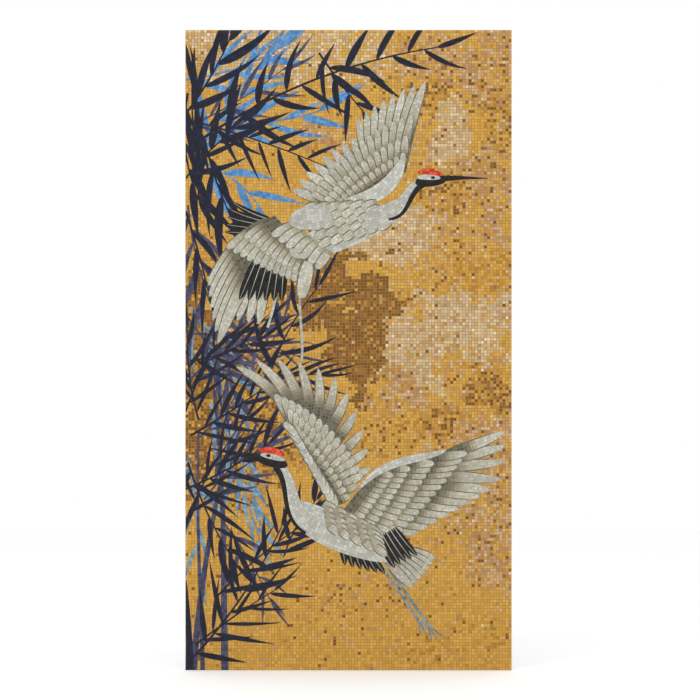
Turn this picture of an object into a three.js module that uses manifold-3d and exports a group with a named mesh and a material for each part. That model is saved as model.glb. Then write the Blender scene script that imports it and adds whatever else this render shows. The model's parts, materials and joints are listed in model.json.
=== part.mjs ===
// A wall panel of glass mosaic: two cranes in flight before bamboo, on a gold ground.
// Millimetres, +Z up. The origin is the middle of the back face, and the picture faces -Y.
import * as THREE from "three";
import { mergeVertices } from "three/addons/utils/BufferGeometryUtils.js";
import Module from "manifold-3d";

// ---- Driving dimensions -------------------------------------------------------------
const TESSERA = 10;                 // side of a ground tessera
const JOINT = 1.5;                  // joint between ground tesserae
const COLUMNS = 106;                // ground tesserae across
const ROWS = 208;                   // ground tesserae up
const WIDTH = COLUMNS * (TESSERA + JOINT);
const HEIGHT = ROWS * (TESSERA + JOINT);
const BOARD = 12.5;                 // cement backing board
const BED = 3;                      // setting bed of adhesive
const MESH = 0.8;                   // mounting mesh that the tesserae come glued on
const GLASS = 4;                    // thickness of a tessera
const FIGURE_JOINT = 1.2;           // joint around a figure
const SMALLEST_AREA = 300;          // a smaller cut-off bit of a figure is left out

const BED_DEPTH = BOARD;            // each layer starts this far from the back face
const MESH_DEPTH = BED_DEPTH + BED;
const GLASS_DEPTH = MESH_DEPTH + MESH;
const LEFT = -WIDTH / 2;
const TOP = HEIGHT / 2;
const BOTTOM = -HEIGHT / 2;

// ---- Colours ------------------------------------------------------------------------
const FINISHES = {
  board: { color: 0x9b988f, roughness: 0.9 },
  bed: { color: 0xa79a80, roughness: 0.95 },
  gold: { color: 0xc69442, roughness: 0.3 },
  navy: { color: 0x24253f, roughness: 0.25 },
  white: { color: 0xd8d4c6, roughness: 0.3 },
  black: { color: 0x1b1a1c, roughness: 0.25 },
  grey: { color: 0x7b8485, roughness: 0.3 },
  red: { color: 0xd4492c, roughness: 0.25 },
};

// ---- Strokes: the picture's one form, a curve with a width along it -------------------
const mixed = (a, b, t) => a + (b - a) * t;
const between = (p, q, t) => [mixed(p[0], q[0], t), mixed(p[1], q[1], t)];
const toward = ([x, z], degrees, distance) => {
  const angle = THREE.MathUtils.degToRad(degrees);
  return [x + distance * Math.cos(angle), z + distance * Math.sin(angle)];
};
const heading = (p, q) => THREE.MathUtils.radToDeg(Math.atan2(q[1] - p[1], q[0] - p[0]));
// An even spread of values from -1 to 1, the same on every run.
const wobble = (k) => ((k * 0.618034) % 1) * 2 - 1;

function pointOn(path, t) {
  let points = path;
  while (points.length > 1) {
    points = points.slice(1).map((point, i) => between(points[i], point, t));
  }
  return points[0];
}

// How wide a stroke is along its length, as a share of its full width, and the places
// along it where its outline has a corner.
const PROFILES = {
  leaf: { share: (t) => Math.sin(Math.PI * t ** 0.62), stations: [0, 0.4, 1] },
  quill: {
    share: (t) => Math.min(1, 0.5 + 2 * t) * (1 - t ** 5) ** 0.7,
    stations: [0, 0.4, 0.85, 1],
  },
  scale: {
    share: (t) => Math.min(1, 0.6 + 1.5 * t) * Math.sqrt(1 - t ** 5),
    stations: [0, 0.5, 0.88, 1],
  },
  oval: {
    share: (t) => Math.sqrt(Math.max(0, 1 - (2 * t - 1) ** 2)),
    stations: [0, 0.1, 0.35, 0.65, 0.9, 1],
  },
  even: { share: () => 1, stations: [0, 0.33, 0.67, 1] },
  taper: { share: (t) => 1 - 0.6 * t, stations: [0, 0.33, 0.67, 1] },
  widen: { share: (t) => 0.4 + 0.6 * t, stations: [0, 0.25, 0.5, 0.75, 1] },
  point: { share: (t) => 1 - 0.94 * t, stations: [0, 0.5, 1] },
};

// The corners of a stroke's outline, moved outwards by a joint's width.
function outline({ path, width, profile }, joint) {
  const { share, stations } = PROFILES[profile];
  const left = [];
  const right = [];
  for (const [i, t] of stations.entries()) {
    const [x, z] = pointOn(path, t);
    const angle = heading(pointOn(path, stations[i - 1] ?? t), pointOn(path, stations[i + 1] ?? t));
    const half = (width / 2) * share(t);
    const pointed = half < 0.01;
    const beyond = t === 0 ? -1 : t === 1 ? 1 : 0;
    const centre = toward([x, z], angle, beyond * joint * (pointed ? 2.5 : 1));
    if (pointed) {
      left.push(centre);
    } else {
      left.push(toward(centre, angle + 90, half + joint));
      right.unshift(toward(centre, angle - 90, half + joint));
    }
  }
  return [...left, ...right];
}

const strokes = [];
function stroke(area, profile, width, path) {
  strokes.push({ area, profile, width, path });
}

// A leaf or feather: it grows from its root, and bends half way along.
function blade(area, profile, root, angle, length, width, bend) {
  const middle = toward(root, angle, length / 2);
  stroke(area, profile, width, [root, middle, toward(middle, angle + bend, length / 2)]);
}

// A row of feathers along a bone, each value going from its first to its last.
function fan(area, profile, count, bone, angle, length, width, bend = [0, 0]) {
  for (let i = 0; i < count; i += 1) {
    const t = count > 1 ? i / (count - 1) : 0;
    blade(area, profile, between(...bone, t), mixed(...angle, t), mixed(...length, t),
      mixed(...width, t), mixed(...bend, t));
  }
}

// A bamboo twig, bowed to its left, with leaves on both sides and one at its end.
function spray(area, start, end, bow, leaves, length, width, spread, twig, droop = 16) {
  const FIRST = 0.08;               // where the first leaf and the last one stand
  const LAST = 0.95;
  const LEFT_OUT = [1, 2];          // of each four leaves, two are left to the finer surface
  const middle = toward(between(start, end, 0.5), heading(start, end) + 90, bow);
  const path = [start, middle, end];
  for (let i = 0; i < leaves; i += 1) {
    if (LEFT_OUT.includes(i % 4)) continue;
    const t = mixed(FIRST, LAST, i / (leaves - 1));
    const side = i % 2 ? 1 : -1;
    const root = pointOn(path, t);
    const along = heading(root, pointOn(path, t + 0.03));
    const k = i + length;
    blade(area, "leaf", root, along + side * (spread - 16 * t + 13 * wobble(k)),
      length * (1.12 - 0.3 * t) * (1 + 0.22 * wobble(2 * k)), width * (1 + 0.25 * wobble(3 * k)),
      -side * droop * (1 + 0.8 * wobble(5 * k)));
  }
  blade(area, "leaf", end, heading(pointOn(path, 0.97), end) + 8, length * 0.8, width * 0.85, 8);
  stroke(area, "taper", twig, path);
}

// ---- The picture, from the back of it to the front -------------------------------------
function bamboo() {
  const area = "bamboo";
  spray(area, [-560, 780], [330, 1130], 110, 15, 205, 24, 66, 10, 20);
  spray(area, [-600, 860], [-95, 690], 20, 13, 165, 16, 58, 7, 8);
  spray(area, [-110, 1110], [90, 850], -12, 8, 185, 22, 46, 7, 20);
  spray(area, [-609, 880], [-440, 1170], -20, 7, 250, 25, 38, 9);
  spray(area, [-600, 960], [-560, 560], -60, 8, 250, 24, 34, 9);
  spray(area, [-540, 800], [-400, 420], -30, 8, 250, 25, 30, 8);
  spray(area, [-609, 520], [-520, 200], 10, 6, 220, 20, 34, 8);
  spray(area, [-310, -150], [-110, 240], 50, 8, 205, 17, 60, 7, 24);
  spray(area, [-590, -40], [-330, 40], -20, 8, 200, 16, 42, 7);
  spray(area, [-590, -320], [-300, -130], -10, 10, 190, 16, 48, 8);
  spray(area, [-609, -520], [-300, -350], -20, 10, 190, 16, 48, 8);
  spray(area, [-600, -420], [-420, -800], -30, 9, 200, 19, 44, 8);
  spray(area, [-600, -1170], [-250, -660], -50, 12, 200, 18, 58, 9, 8);
  spray(area, [-500, -930], [-150, -640], 30, 8, 180, 16, 46, 7);
  spray(area, [-240, -770], [-120, -560], 30, 6, 160, 18, 46, 6);
  stroke(area, "taper", 30, [[-594, BOTTOM], [-592, -1050], [LEFT - 2, -860]]);
}

function upperCrane() {
  const { white, black, grey, red } = areasOf("upper_crane");
  // Back plumes and legs
  fan(black, "quill", 5, [[-290, 450], [-280, 484]], [190, 166], [172, 170], [26, 22], [-14, -20]);
  stroke(grey, "even", 9, [[-259, 280], [-266, 200], [-288, 130], [-302, 84]]);
  stroke(grey, "even", 9, [[-183, 220], [-182, 90], [-166, 20], [-176, -44]]);
  // Raised wing
  fan(white, "quill", 8, [[-10, 545], [96, 612]], [170, 118], [208, 200], [40, 36], [-10, -8]);
  fan(white, "quill", 8, [[104, 616], [196, 662]], [112, 82], [262, 358], [36, 38], [-14, -14]);
  stroke(white, "oval", 70, [[-16, 552], [150, 562], [204, 714]]);
  // Near wing
  fan(white, "quill", 3, [[-334, 330], [-296, 318]], [248, 258], [236, 226], [36, 36], [4, 4]);
  fan(white, "quill", 8, [[-392, 424], [-338, 346]], [232, 240], [232, 356], [38, 42], [8, 10]);
  fan(black, "quill", 6, [[-338, 350], [-240, 324]], [246, 264], [176, 140], [34, 34], [2, 4]);
  fan(white, "scale", 9, [[-300, 484], [-140, 344]], [212, 242], [186, 106], [44, 42], [4, 6]);
  stroke(white, "oval", 150, [[-330, 445], [-220, 440], [-90, 370]]);
  // Body and thigh
  stroke(white, "oval", 112, [[-222, 366], [-116, 386], [36, 470], [184, 500]]);
  fan(white, "scale", 1, [[-150, 330], [-150, 330]], [259, 259], [140, 140], [50, 50]);
  stroke(white, "oval", 88, [[-62, 502], [-140, 500], [-222, 478]]);
  stroke(white, "oval", 112, [[-190, 470], [-30, 490], [150, 530]]);
  stroke(white, "oval", 58, [[70, 506], [150, 500], [212, 566]]);
  // Neck and head
  stroke(white, "taper", 58, [[60, 478], [214, 480], [192, 600], [284, 638]]);
  stroke(black, "widen", 22, [[150, 488], [240, 496], [212, 596], [296, 626]]);
  stroke(black, "oval", 46, [[250, 624], [300, 638], [366, 636]]);
  stroke(black, "point", 24, [[335, 640], [430, 646], [520, 640]]);
  stroke(white, "oval", 22, [[254, 648], [300, 655], [340, 646]]);
  stroke(red, "oval", 22, [[258, 666], [300, 682], [352, 656]]);
}

function lowerCrane() {
  const { white, black, grey, red } = areasOf("lower_crane");
  // Legs and toes
  for (const foot of [[300, -1030], [262, -1010]]) {
    fan(grey, "taper", 3, [foot, foot], [278, 322], [56, 64], [8, 8]);
  }
  stroke(grey, "even", 10, [[130, -780], [190, -880], [240, -940], [300, -1030]]);
  stroke(grey, "even", 9, [[100, -770], [160, -870], [215, -940], [262, -1010]]);
  // Tail and the dark feathers below
  fan(white, "quill", 7, [[196, -744], [150, -796]], [-14, -46], [134, 128], [34, 32]);
  fan(black, "quill", 6, [[-24, -706], [72, -744]], [-86, -58], [98, 112], [27, 25], [6, 6]);
  // Raised wing
  fan(white, "quill", 6, [[-190, -300], [-112, -340]], [112, 68], [356, 246], [36, 35], [44, 14]);
  fan(white, "quill", 5, [[-100, -350], [-50, -500]], [56, 20], [214, 146], [36, 34], [14, 8]);
  stroke(white, "oval", 150, [[-20, -640], [20, -430], [-190, -230]]);
  stroke(white, "oval", 56, [[-50, -600], [-120, -470], [-240, -262]]);
  // Near wing
  fan(white, "quill", 8, [[130, -655], [250, -480]], [-14, -10], [130, 285], [40, 42], [2, 2]);
  fan(white, "quill", 4, [[262, -456], [350, -390]], [-8, 13], [310, 250], [40, 36], [6, 14]);
  stroke(white, "oval", 190, [[-60, -640], [180, -620], [430, -400]]);
  stroke(white, "oval", 100, [[0, -600], [120, -470], [340, -404]]);
  stroke(white, "oval", 30, [[40, -520], [130, -400], [260, -416], [366, -374]]);
  // Body
  stroke(white, "oval", 132, [[-218, -566], [-130, -670], [20, -690], [166, -782]]);
  fan(black, "quill", 5, [[120, -714], [166, -678]], [-62, -60], [110, 126], [28, 26], [4, 8]);
  // Neck and head
  stroke(white, "taper", 62, [[-110, -665], [-240, -620], [-186, -500], [-262, -420]]);
  stroke(black, "widen", 22, [[-160, -684], [-268, -620], [-210, -500], [-276, -436]]);
  stroke(black, "oval", 46, [[-228, -432], [-285, -412], [-352, -398]]);
  stroke(black, "point", 26, [[-325, -402], [-420, -392], [-510, -376]]);
  stroke(white, "oval", 22, [[-236, -412], [-285, -396], [-330, -390]]);
  stroke(red, "oval", 24, [[-238, -394], [-285, -366], [-338, -376]]);
}

function areasOf(bird) {
  return { white: `${bird}_white`, black: `${bird}_black`, grey: `${bird}_leg`, red: `${bird}_crown` };
}

// ---- Solids ---------------------------------------------------------------------------
const wasm = await Module();
wasm.setup();

function solid(geometry) {
  geometry.deleteAttribute("normal");
  geometry.deleteAttribute("uv");
  const merged = mergeVertices(geometry, 1e-5);
  return new wasm.Manifold(new wasm.Mesh({
    numProp: 3,
    vertProperties: new Float32Array(merged.attributes.position.array),
    triVerts: new Uint32Array(merged.index.array),
  }));
}

// A flat shape, drawn as the picture is seen, made a plate of some thickness at a depth
// from the back face.
function plate(corners, depth, thickness) {
  const shape = new THREE.Shape(corners.map(([x, z]) => new THREE.Vector2(x, z)));
  const geometry = new THREE.ExtrudeGeometry(shape, { depth: thickness, bevelEnabled: false });
  return solid(geometry.translate(0, 0, depth));
}

function panelPlate(depth, thickness) {
  const right = -LEFT;
  return plate([[LEFT, BOTTOM], [right, BOTTOM], [right, TOP], [LEFT, TOP]], depth, thickness);
}

function together(solids) {
  return wasm.Manifold.union(solids);
}

// Each area as it shows: its strokes, less what is drawn over them in other areas, with
// the joint around it.
function visibleAreas() {
  const face = panelPlate(GLASS_DEPTH, GLASS);
  const runs = [];
  for (const drawn of strokes) {
    if (runs.at(-1)?.area !== drawn.area) runs.push({ area: drawn.area, members: [] });
    runs.at(-1).members.push(drawn);
  }
  for (const run of runs) {
    run.drawn = together(run.members.map((s) => plate(outline(s, 0), GLASS_DEPTH, GLASS)));
    run.cleared = together(
      run.members.map((s) => plate(outline(s, FIGURE_JOINT), GLASS_DEPTH, GLASS + 1)));
  }
  const areas = new Map();
  runs.forEach((run, i) => {
    const over = runs.slice(i + 1).filter((other) => other.area !== run.area);
    const shown = run.drawn.intersect(face).subtract(together(over.map((other) => other.cleared)));
    const before = areas.get(run.area);
    areas.set(run.area, before ? before.add(shown) : shown);
  });
  return { areas, cleared: together(runs.map((run) => run.cleared)) };
}

// ---- Nodes ----------------------------------------------------------------------------
const panel = new THREE.Group();
// The drawing's up is +Z, and its depth goes towards -Y.
const standing = new THREE.Matrix4().makeBasis(
  new THREE.Vector3(1, 0, 0), new THREE.Vector3(0, 0, 1), new THREE.Vector3(0, -1, 0));

function addNode(name, body, finish) {
  const { vertProperties, triVerts, numProp } = body.getMesh();
  const positions = new Float32Array(triVerts.length * 3);
  triVerts.forEach((vertex, i) => {
    positions.set(vertProperties.subarray(vertex * numProp, vertex * numProp + 3), i * 3);
  });
  const geometry = new THREE.BufferGeometry();
  geometry.setAttribute("position", new THREE.BufferAttribute(positions, 3));
  geometry.applyMatrix4(standing);
  geometry.computeVertexNormals();
  const material = new THREE.MeshStandardMaterial({ ...FINISHES[finish], metalness: 0 });
  const mesh = new THREE.Mesh(geometry, material);
  mesh.name = name;
  panel.add(mesh);
}

const finishOf = (area) => ({ bamboo: "navy", white: "white", black: "black", leg: "grey", crown: "red" }[
  area.split("_").at(-1)]);

bamboo();
upperCrane();
lowerCrane();
const { areas, cleared } = visibleAreas();

addNode("backing_board", panelPlate(0, BOARD), "board");
addNode("setting_bed", panelPlate(BED_DEPTH, BED), "bed");
for (const [area, shown] of areas) {
  const bodies = shown.decompose().sort((a, b) => b.volume() - a.volume());
  const whole = bodies.filter((body) => body.volume() > SMALLEST_AREA * GLASS);
  whole.forEach((body, i) => {
    addNode(whole.length > 1 ? `${area}_${i + 1}` : area, body, finishOf(area));
  });
}
const pockets = cleared.intersect(panelPlate(GLASS_DEPTH, GLASS + 1));
addNode("ground_tesserae", panelPlate(MESH_DEPTH, MESH + GLASS).subtract(pockets), "gold");

export default panel;
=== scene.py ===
"""A wall panel of glass mosaic: two cranes in flight before bamboo, on a gold ground.

Every tessera is a solid of its own: the ground's are squares in a straight grid, and the
figures' are cut to follow each feather and leaf. The frame is in metres, and the picture is
drawn in millimetres from the panel's middle, x to the right and z up.
"""
import json
import math
import random
from functools import partial
from itertools import groupby

import bpy
import numpy as np
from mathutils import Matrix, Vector, noise

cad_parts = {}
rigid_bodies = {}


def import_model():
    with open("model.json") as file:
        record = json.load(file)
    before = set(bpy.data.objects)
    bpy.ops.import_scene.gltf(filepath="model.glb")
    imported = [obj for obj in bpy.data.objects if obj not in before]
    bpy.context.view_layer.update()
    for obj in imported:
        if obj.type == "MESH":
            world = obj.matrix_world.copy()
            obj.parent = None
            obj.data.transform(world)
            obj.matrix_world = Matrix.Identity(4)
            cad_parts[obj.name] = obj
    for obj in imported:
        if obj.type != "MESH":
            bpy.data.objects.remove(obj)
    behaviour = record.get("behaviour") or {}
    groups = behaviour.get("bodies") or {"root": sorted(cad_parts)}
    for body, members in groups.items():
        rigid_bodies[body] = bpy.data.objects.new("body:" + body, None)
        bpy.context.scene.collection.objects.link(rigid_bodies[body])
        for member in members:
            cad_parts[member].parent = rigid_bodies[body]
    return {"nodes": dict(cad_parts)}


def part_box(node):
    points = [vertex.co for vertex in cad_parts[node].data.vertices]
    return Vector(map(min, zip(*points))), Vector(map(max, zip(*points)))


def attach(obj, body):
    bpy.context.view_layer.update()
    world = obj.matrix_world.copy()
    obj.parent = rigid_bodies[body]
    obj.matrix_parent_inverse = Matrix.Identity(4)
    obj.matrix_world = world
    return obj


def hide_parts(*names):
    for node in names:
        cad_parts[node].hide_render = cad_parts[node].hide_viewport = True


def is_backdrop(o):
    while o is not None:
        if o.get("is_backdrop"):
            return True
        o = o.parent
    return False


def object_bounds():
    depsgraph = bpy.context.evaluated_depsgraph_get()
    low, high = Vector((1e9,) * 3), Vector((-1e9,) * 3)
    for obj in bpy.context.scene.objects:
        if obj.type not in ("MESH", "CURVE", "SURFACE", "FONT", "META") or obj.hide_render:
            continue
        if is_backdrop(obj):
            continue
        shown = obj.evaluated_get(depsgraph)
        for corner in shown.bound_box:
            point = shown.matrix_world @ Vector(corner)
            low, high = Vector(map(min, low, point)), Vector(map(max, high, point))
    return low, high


bl_info = {
    "name": "Crane mosaic panel",
    "version": (1, 0, 0),
    "blender": (4, 5, 0),
    "location": "View3D > Sidebar > Mosaic",
    "description": "Makes the tesserae, grout and board of a mosaic wall panel",
    "category": "Add Mesh",
}

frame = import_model()
CAD_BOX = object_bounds()

MM = 0.001
LOW, HIGH = (Vector(corner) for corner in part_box("backing_board"))
GLASS_LOW, GLASS_HIGH = (Vector(corner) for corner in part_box("ground_tesserae"))
BED_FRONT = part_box("setting_bed")[0].y
LEFT, RIGHT = LOW.x / MM, HIGH.x / MM
BOTTOM, TOP = LOW.z / MM, HIGH.z / MM
FACE = GLASS_LOW.y  # the plane of the finished face
MESH_THICKNESS = 0.8 * MM
TESSERA_BACK = GLASS_HIGH.y - MESH_THICKNESS
EMBEDDED = 0.2 * MM  # how far behind that plane a tessera's front lies
LEAN = 0.012  # the usual slope of a tessera that is out of true
PRESSED = 0.15 * MM  # how much further in some of them are pressed
GROUT_SUNK = 0.9 * MM  # how far behind the plane the grout is struck off
GROUT_INSET = 1.0  # from there to the panel's edge, in millimetres
FACING = 0.9  # from here on a normal's share along y makes a face a front or a back


# ---- Sizes and colours that a user would change ------------
class MosaicSizes(bpy.types.PropertyGroup):
    pitch: bpy.props.FloatProperty(
        name="Grid pitch", description="From one ground tessera to the next, in millimetres",
        default=11.5, min=5)
    joint: bpy.props.FloatProperty(
        name="Ground joint", description="Width of the joint in the ground, in millimetres",
        default=1.5, min=0.5)
    fine_joint: bpy.props.FloatProperty(
        name="Figure joint", description="Width of the joint in the figures, in millimetres",
        default=0.7, min=0.3)
    course: bpy.props.FloatProperty(
        name="Cut length", description="Length of a tessera along a feather, in millimetres",
        default=10.0, min=4)
    leaf_course: bpy.props.FloatProperty(
        name="Leaf cut length", description="Length of a tessera along a leaf, in millimetres",
        default=14.0, min=4)
    chamfer: bpy.props.FloatProperty(
        name="Arris", description="Width of the worn edge of a tessera, in millimetres",
        default=0.35, min=0.1)


class MosaicColours(bpy.types.PropertyGroup):
    grout: bpy.props.StringProperty(
        name="Grout", description="Colour of the grout, as sRGB hex", default="A07C3E")
    board: bpy.props.StringProperty(
        name="Board", description="Colour of the fibre-cement board, as sRGB hex", default="A3A19A")
    floor: bpy.props.StringProperty(
        name="Floor", description="Colour of the floor, as sRGB hex", default="FAFAFA")


def linear(hex_colour):
    """An sRGB hex colour as linear red, green, blue and alpha."""
    parts = [int(hex_colour[i:i + 2], 16) / 255 for i in (0, 2, 4)]
    return (*[c / 12.92 if c <= 0.04045 else ((c + 0.055) / 1.055) ** 2.4 for c in parts], 1.0)


# Opaque glass as it comes from the furnace, a few neighbouring shades to each batch.
GLASS = {
    "gold": ("C4953C", "BD8F3A", "C9993F", "B88B38", "CC9F4B", "C1923B"),
    "honey": ("AF7D2B", "B9852F", "A57528"),
    "sand": ("C3AB86", "B79E79", "CEB892", "AD926D", "BFA784", "C0A47C"),
    "amber": ("764C1A", "825721", "6C4416", "8D6128", "744A18"),
    "rose": ("B58C62", "A67D58", "BF9E7A", "AE8354"),
    "dark": ("71501F", "68471A", "805B29"),
    "pale": ("D8C49D", "D0B98E", "DDCCA8"),
    "navy": ("141729", "181B2F", "111524", "181624", "1D2037"),
    "slate": ("3B3B53", "444561", "34334C", "4A4A5F"),
    "blue": ("4C7EB0", "588AB9", "4373A4", "6592BD"),
    "steel": ("64859F", "7092AA", "587994", "7D9CB0"),
    "black": ("131315", "1A1A1D", "0E0E10", "211F20"),
    "red": ("CF3A20", "D94827", "BC2E18", "DD5836"),
    "leg": ("75858A", "65757A", "869699"),
    "shin": ("A9ABA4", "B7B8B0", "989C98"),
    "white": ("BAB6A5", "B3AF9D", "C4C0B1", "AAA693"),
    "cool": ("B5B5AC", "ADADA3", "C0C0B8", "A6A69C"),
    "cream": ("A2987F", "978D73", "AEA48B"),
    "shadow": ("565140", "625D4A", "4A4637"),
    "outline": ("454233", "504D3D", "3C392C"),
}

# Grout is tinted to suit the glass that it lies between.
GROUT = {
    "navy": "1C1D28", "slate": "3B3A4E", "blue": "4F7596", "steel": "56707F",
    "black": "1A1A1B", "red": "8C3321", "leg": "66706F", "shin": "8A8B84", "white": "8F8B7C",
}


# ---- Drawing: a stroke is a curve with a width along it ----
def mixed(a, b, t):
    return a + (b - a) * t


def between(p, q, t):
    return (mixed(p[0], q[0], t), mixed(p[1], q[1], t))


def toward(p, degrees, distance):
    angle = math.radians(degrees)
    return (p[0] + distance * math.cos(angle), p[1] + distance * math.sin(angle))


def heading(p, q):
    return math.degrees(math.atan2(q[1] - p[1], q[0] - p[0]))


def wobble(k):
    """An even spread of values from -1 to 1, the same on every run."""
    return (k * 0.618034 % 1) * 2 - 1


def smooth(low, high, value):
    t = min(1.0, max(0.0, (value - low) / (high - low)))
    return t * t * (3 - 2 * t)


def point_on(path, t):
    while len(path) > 1:
        path = [between(p, q, t) for p, q in zip(path, path[1:])]
    return path[0]


PROFILES = {
    "leaf": lambda t: math.sin(math.pi * t ** 0.62) if 0 < t < 1 else 0.0,
    "quill": lambda t: min(1, 0.5 + 2 * t) * (1 - t ** 5) ** 0.7,
    "scale": lambda t: min(1, 0.6 + 1.5 * t) * math.sqrt(1 - t ** 5),
    "oval": lambda t: math.sqrt(max(0, 1 - (2 * t - 1) ** 2)),
    "even": lambda t: 1.0,
    "taper": lambda t: 1 - 0.6 * t,
    "widen": lambda t: 0.4 + 0.6 * t,
    "point": lambda t: 1 - 0.94 * t,
}


WIDEST = 10.5  # a tessera across a stroke, in millimetres
SHORTEST = 0.2  # a shorter side of a tessera counts as a corner, in millimetres
SMALLEST = 8  # a tessera with its joint, in square millimetres


class Stroke:
    """One feather, leaf, twig or limb: its centre line, width and glass."""

    def __init__(self, piece, glass, profile, width, path, fade=None, reach=1.0):
        self.piece, self.glass, self.profile = piece, glass, PROFILES[profile]
        self.width, self.path, self.fade, self.reach = width, path, fade, reach
        steps = [self.place(i / 12) for i in range(13)]
        self.length = sum(math.dist(p, q) for p, q in zip(steps, steps[1:]))

    def place(self, t):
        return point_on(self.path, t * self.reach)

    def station(self, t):
        """The centre, the direction and the half width at t along the stroke."""
        back, ahead = self.place(max(0, t - 0.01)), self.place(min(1, t + 0.01))
        return self.place(t), heading(back, ahead), self.width / 2 * self.profile(t * self.reach)

    def eased(self, u):
        """Stations lie closer together where the outline rounds off."""
        if self.profile is PROFILES["oval"]:
            return (1 - math.cos(math.pi * u)) / 2
        if self.profile in (PROFILES["quill"], PROFILES["scale"]):
            return 1 - (1 - u) ** 1.5
        return u

    def silhouette(self, margin):
        """The outline, moved outwards by a margin."""
        steps = max(7, round(self.length / 13))
        left, right = [], []
        for i in range(steps + 1):
            centre, angle, half = self.station(self.eased(i / steps))
            pointed = half < 0.01
            beyond = {0: -1, steps: 1}.get(i, 0) * margin * (3 if pointed else 1)
            centre = toward(centre, angle, beyond)
            left.append(toward(centre, angle + 90, half + margin * (not pointed)))
            if not pointed:
                right.append(toward(centre, angle - 90, half + margin))
        return left + right[::-1]

    def cells(self, course, joint):
        """The cut tesserae in rows along the stroke: outline, and its place along and across."""
        rows = max(2, round(self.length / course))
        stations = [self.station(self.eased(i / rows)) for i in range(rows + 1)]
        for i, ((c0, a0, h0), (c1, a1, h1)) in enumerate(zip(stations, stations[1:])):
            count = 1 if self.glass == "outline" else max(1, round((h0 + h1) / WIDEST))
            for j in range(count):
                s0, s1 = 1 - 2 * j / count, 1 - 2 * (j + 1) / count
                corners = (toward(c0, a0 + 90, h0 * s0), toward(c0, a0 + 90, h0 * s1),
                           toward(c1, a1 + 90, h1 * s1), toward(c1, a1 + 90, h1 * s0))
                outline = shrunk(corners, joint / 2)
                if outline:
                    yield outline, self.eased((i + 0.5) / rows), (j + 0.5) / count


def signed_area(outline):
    """The area inside an outline, negative where it runs clockwise."""
    return sum(p[0] * q[1] - q[0] * p[1] for p, q in zip(outline, outline[1:] + outline[:1])) / 2


def counter_clockwise(outline):
    return outline if signed_area(outline) > 0 else outline[::-1]


def shrunk(corners, inset):
    """A convex outline moved inwards by an inset, or None where nothing would be left."""
    around = zip(corners, (*corners[1:], corners[0]))
    corners = [p for p, q in around if math.dist(p, q) > SHORTEST]
    count = len(corners)
    if count < 3 or abs(signed_area(corners)) < SMALLEST:
        return None
    corners = counter_clockwise(corners)
    moved = []
    for i in range(count):
        before, here, after = corners[i - 1], corners[i], corners[(i + 1) % count]
        a, b = math.dist(before, here), math.dist(here, after)
        n1 = ((here[1] - before[1]) / a, (before[0] - here[0]) / a)
        n2 = ((after[1] - here[1]) / b, (here[0] - after[0]) / b)
        scale = inset / max(0.2, 1 + n1[0] * n2[0] + n1[1] * n2[1])
        moved.append((here[0] - (n1[0] + n2[0]) * scale, here[1] - (n1[1] + n2[1]) * scale))
    for i in range(count):
        p, q, r, s = corners[i - 1], corners[i], moved[i - 1], moved[i]
        if (q[0] - p[0]) * (s[0] - r[0]) + (q[1] - p[1]) * (s[1] - r[1]) < 0.3:
            return None
    return moved


STROKES = []
RING = 3.4  # width of the dark line of glass round a feather


def stroke(piece, glass, profile, width, path, fade=None, reach=1.0):
    STROKES.append(Stroke(piece, glass, profile, width, path, fade, reach))


def blade(piece, glass, profile, root, angle, length, width, bend, fade=None, ringed=0.0):
    """A leaf or feather: it grows from its root, and bends half way along."""
    middle = toward(root, angle, length / 2)
    path = [root, middle, toward(middle, angle + bend, length / 2)]
    if ringed:
        stroke(piece, "outline", profile, width + 2 * RING, path, None, ringed)
    stroke(piece, glass, profile, width, path, fade)
    return path


# How far along a feather its grey root ends and its white tip begins, and how much is ringed.
FEATHERS = {"quill": ((0.4, 0.8), 0.86), "scale": ((0.34, 0.9), 1.0)}
SOFT = (-0.3, 0.6)  # the fade of the small feathers on a body
PLAIN = (-2.0, -1.0)  # the fade of a feather that is white all along


def fan(piece, glass, profile, count, bone, angle, length, width, bend=(0, 0), fade=None):
    """A row of feathers along a bone, each value going from its first to its last."""
    usual, ringed = FEATHERS.get(profile, (None, 0.0))
    for i in range(count):
        t = i / (count - 1)
        values = (mixed(*angle, t), mixed(*length, t), mixed(*width, t), mixed(*bend, t))
        root = between(*bone, t)
        if glass == "white":
            blade(piece, glass, profile, root, *values, fade or usual, ringed)
        else:
            path = blade(piece, glass, profile, root, *values)
            if glass == "black":
                stroke(piece.replace("black", "white"), "white", "taper", 3.2, path, None, 0.97)


def spray(piece, glass, start, end, bow, leaves, length, width, spread, twig, droop=16):
    """A bamboo twig, bowed to its left, with leaves on both sides and one at its end."""
    # The leaves get shorter and lie closer towards the end, and no two are quite alike.
    first, last = 0.08, 0.95
    middle = toward(between(start, end, 0.5), heading(start, end) + 90, bow)
    path = [start, middle, end]
    for i in range(leaves):
        t = mixed(first, last, i / (leaves - 1))
        side = 1 if i % 2 else -1
        root = point_on(path, t)
        along = heading(root, point_on(path, t + 0.03))
        k = i + length
        blade(piece, glass, "leaf", root, along + side * (spread - 16 * t + 13 * wobble(k)),
              length * (1.12 - 0.3 * t) * (1 + 0.22 * wobble(2 * k)),
              width * (1 + 0.25 * wobble(3 * k)), -side * droop * (1 + 0.8 * wobble(5 * k)))
    blade(piece, glass, "leaf", end, heading(point_on(path, 0.97), end) + 8, length * 0.8,
          width * 0.85, 8)
    stroke(piece, glass, "taper", twig, path)


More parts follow.
